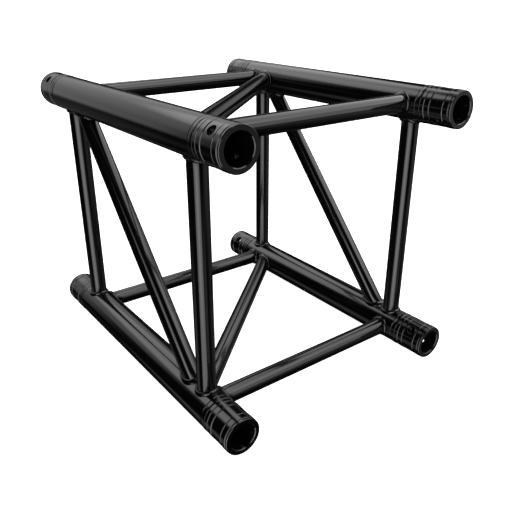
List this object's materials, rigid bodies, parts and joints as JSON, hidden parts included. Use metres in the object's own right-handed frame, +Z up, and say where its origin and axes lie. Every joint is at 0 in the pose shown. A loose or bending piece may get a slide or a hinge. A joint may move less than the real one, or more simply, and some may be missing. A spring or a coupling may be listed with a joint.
{
  "type": "lighting truss section",
  "caption": "Short square lighting truss section: round chord tubes with conical coupler receivers, square end frames and a diagonal brace in each face, painted black.",
  "frame": {"origin": "under the middle of the section, at mid-length, on the surface that it stands on; the chords' axes are at y = -0.175 and 0.175 m and z = 0.0254 and 0.3754 m", "axes": "+X along the truss towards its front end, +Y to its right side, +Z up"},
  "size_m": [0.5, 0.4008, 0.4008],
  "materials": {
    "tube_paint": "satin",
    "receiver_paint": "satin",
    "weld_paint": "satin"
  },
  "bodies": {
    "root": {"chord_top_left": "tube_paint", "chord_top_right": "tube_paint", "chord_bottom_left": "tube_paint", "chord_bottom_right": "tube_paint", "receiver_top_left_front": "receiver_paint", "receiver_top_left_rear": "receiver_paint", "receiver_top_right_front": "receiver_paint", "receiver_top_right_rear": "receiver_paint", "receiver_bottom_left_front": "receiver_paint", "receiver_bottom_left_rear": "receiver_paint", "receiver_bottom_right_front": "receiver_paint", "receiver_bottom_right_rear": "receiver_paint", "weld_receiver_top_left_front": "weld_paint", "weld_receiver_top_left_rear": "weld_paint", "weld_receiver_top_right_front": "weld_paint", "weld_receiver_top_right_rear": "weld_paint", "weld_receiver_bottom_left_front": "weld_paint", "weld_receiver_bottom_left_rear": "weld_paint", "weld_receiver_bottom_right_front": "weld_paint", "weld_receiver_bottom_right_rear": "weld_paint", "crossbar_top_front": "tube_paint", "crossbar_top_rear": "tube_paint", "upright_left_front": "tube_paint", "upright_left_rear": "tube_paint", "crossbar_bottom_front": "tube_paint", "crossbar_bottom_rear": "tube_paint", "upright_right_front": "tube_paint", "upright_right_rear": "tube_paint", "diagonal_top": "tube_paint", "diagonal_left": "tube_paint", "diagonal_bottom": "tube_paint", "diagonal_right": "tube_paint", "weld_crossbar_top_front_right": "weld_paint", "weld_crossbar_top_front_left": "weld_paint", "weld_crossbar_top_rear_right": "weld_paint", "weld_crossbar_top_rear_left": "weld_paint", "weld_upright_left_front_top": "weld_paint", "weld_upright_left_front_bottom": "weld_paint", "weld_upright_left_rear_top": "weld_paint", "weld_upright_left_rear_bottom": "weld_paint", "weld_crossbar_bottom_front_left": "weld_paint", "weld_crossbar_bottom_front_right": "weld_paint", "weld_crossbar_bottom_rear_left": "weld_paint", "weld_crossbar_bottom_rear_right": "weld_paint", "weld_upright_right_front_bottom": "weld_paint", "weld_upright_right_front_top": "weld_paint", "weld_upright_right_rear_bottom": "weld_paint", "weld_upright_right_rear_top": "weld_paint", "weld_diagonal_top_front": "weld_paint", "weld_diagonal_top_rear": "weld_paint", "weld_diagonal_left_front": "weld_paint", "weld_diagonal_left_rear": "weld_paint", "weld_diagonal_bottom_front": "weld_paint", "weld_diagonal_bottom_rear": "weld_paint", "weld_diagonal_right_front": "weld_paint", "weld_diagonal_right_rear": "weld_paint"}
  },
  "joints": []
}
